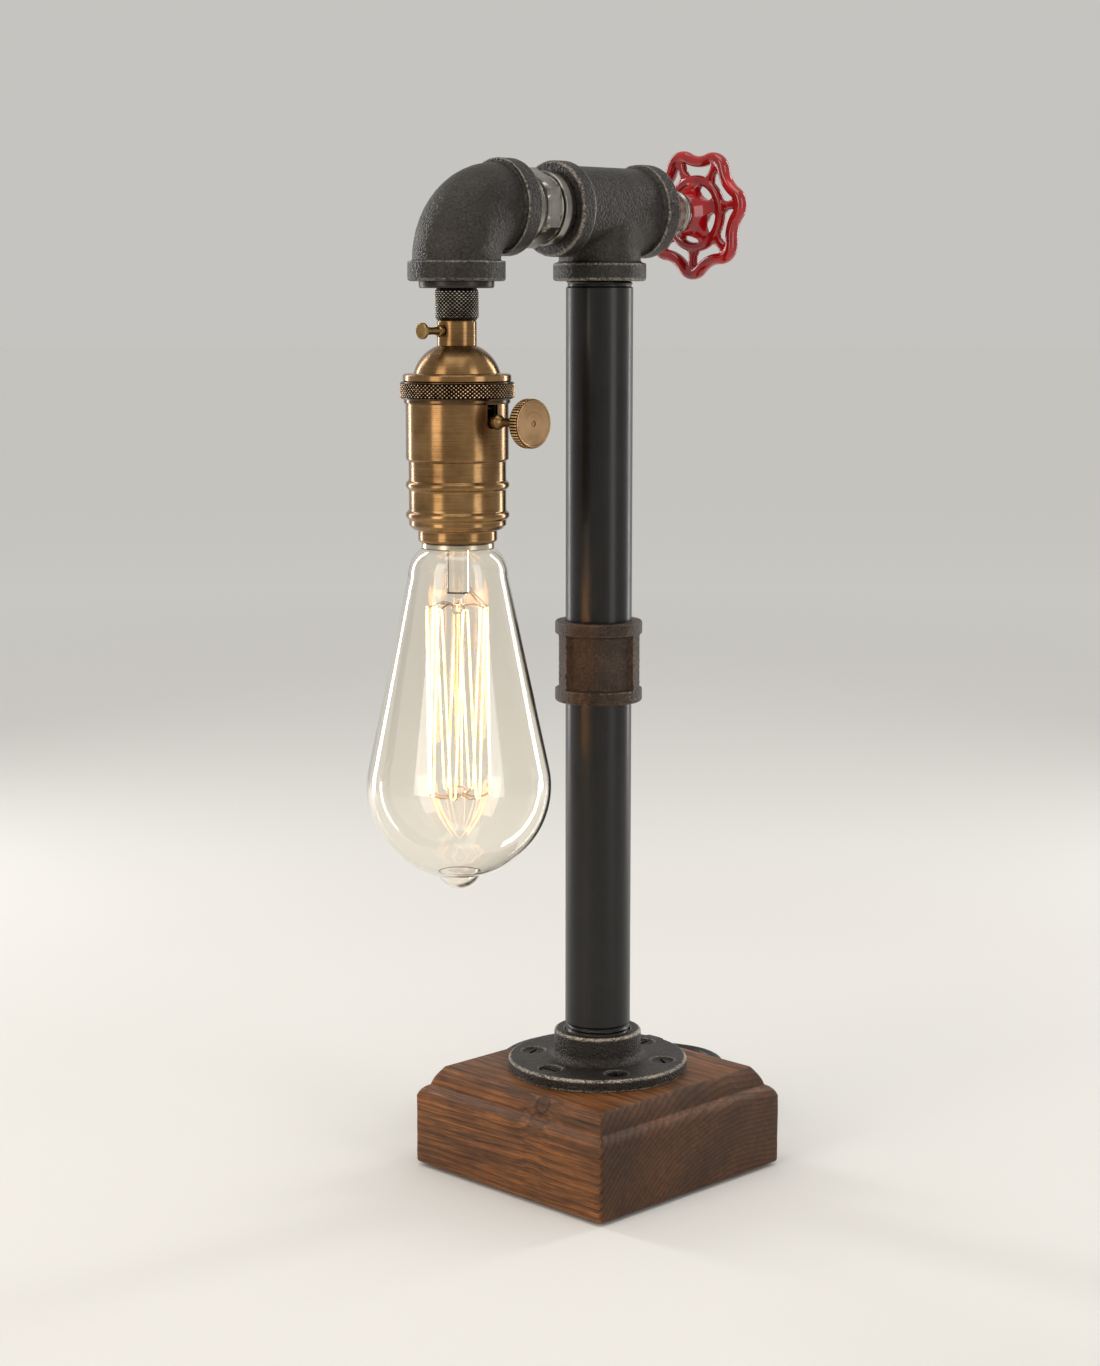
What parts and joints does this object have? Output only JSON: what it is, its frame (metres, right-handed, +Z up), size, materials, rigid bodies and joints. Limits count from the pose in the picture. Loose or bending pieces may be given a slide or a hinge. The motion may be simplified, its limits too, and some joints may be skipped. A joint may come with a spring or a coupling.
{
  "type": "pipe table lamp",
  "caption": "Table lamp of black pipe fittings on a square moulded wooden base, with a red valve wheel, a brass key-switch socket and a hanging clear filament bulb.",
  "frame": {"origin": "centre of the base's underside, on the riser's axis", "axes": "+Z up along the riser, -X along the arm to the elbow and the socket, +X to the valve wheel, -Y to the key"},
  "size_m": [0.2602, 0.1832, 0.4165],
  "materials": {
    "walnut_stained_wood": "oiled, satin",
    "dark_felt": "matte",
    "cast_iron": "rough, oiled",
    "black_steel": "satin black",
    "nickel": "polished",
    "zinc_steel": "satin",
    "gunmetal": "knurled, satin",
    "red_enamel": "glossy enamel",
    "packing_graphite": "matte",
    "antique_brass": "brushed, aged",
    "raw_brass": "turned",
    "dark_bronze": "knurled, dark",
    "fibre": "matte",
    "phenolic": "moulded",
    "lamp_cap_aluminium": "bright",
    "clear_glass": "clear, faint amber",
    "black_glass": "gloss",
    "nickel_wire": "satin",
    "tungsten": "glowing",
    "black_pvc": "satin",
    "copper_lead": "insulated"
  },
  "bodies": {
    "stand": {"base_block": "walnut_stained_wood", "base_felt": "dark_felt", "floor_flange": "cast_iron", "flange_screws": "zinc_steel", "lower_pipe": "black_steel", "pipe_coupling": "cast_iron", "upper_pipe": "black_steel", "riser_cable": "black_pvc", "cord_gland": "black_pvc", "cord_strain_relief": "black_pvc", "power_cord": "black_pvc", "cord_coil": "black_pvc", "plug_lead": "black_pvc", "cord_tie": "black_pvc", "plug_body": "black_pvc", "plug_blades": "raw_brass"},
    "arm": {"pipe_tee": "cast_iron", "hex_nipple": "nickel", "valve_bonnet": "nickel", "gland_packing": "packing_graphite", "packing_nut": "nickel", "arm_cable": "black_pvc"},
    "valve_wheel": {"wheel_stem": "zinc_steel", "handwheel": "red_enamel", "wheel_washer": "zinc_steel", "wheel_nut": "zinc_steel"},
    "head": {"pipe_elbow": "cast_iron", "reducing_bushing": "black_steel", "threaded_tube": "zinc_steel", "knurled_coupler": "gunmetal", "socket_neck": "antique_brass", "socket_cap": "antique_brass", "union_ring": "dark_bronze", "socket_shell": "antique_brass", "insulating_liner": "fibre", "socket_core": "phenolic", "screw_shell": "raw_brass", "centre_contact": "raw_brass", "terminal_screws": "raw_brass", "switch_contact": "raw_brass", "head_cable": "black_pvc", "socket_leads": "copper_lead"},
    "key": {"key_stem": "raw_brass", "key_knob": "raw_brass", "switch_cam": "phenolic"},
    "neck_screw": {"thumb_screw": "raw_brass"},
    "bulb": {"bulb_glass": "clear_glass", "bulb_cap": "lamp_cap_aluminium", "bulb_insulator": "black_glass", "bulb_contact": "lamp_cap_aluminium", "bulb_stem": "clear_glass", "bulb_filament": "tungsten", "filament_supports": "nickel_wire", "bulb_leads": "nickel_wire"}
  },
  "joints": [
    {"name": "arm_swing", "type": "hinge", "parent": "stand", "child": "arm", "pos_m": [0, 0, 0.37855], "axis": [0, 0, 1], "range_deg": [-90, 90]},
    {"name": "wheel_turn", "type": "hinge", "parent": "arm", "child": "valve_wheel", "pos_m": [0.0276, 0, 0.391], "axis": [1, 0, 0], "continuous": true},
    {"name": "head_tilt", "type": "hinge", "parent": "arm", "child": "head", "pos_m": [-0.0494, 0, 0.391], "axis": [1, 0, 0], "range_deg": [-60, 60]},
    {"name": "key_turn", "type": "hinge", "parent": "head", "child": "key", "pos_m": [-0.0774, 0, 0.311], "axis": [0, 1, 0], "continuous": true},
    {"name": "thumb_screw_turn", "type": "hinge", "parent": "head", "child": "neck_screw", "pos_m": [-0.0774, 0, 0.3446], "axis": [1, 0, 0], "range_deg": [0, 1080]},
    {"name": "bulb_out", "type": "slide", "parent": "head", "child": "bulb", "axis": [0, 0, -1], "range_m": [0, 0.03]}
  ]
}
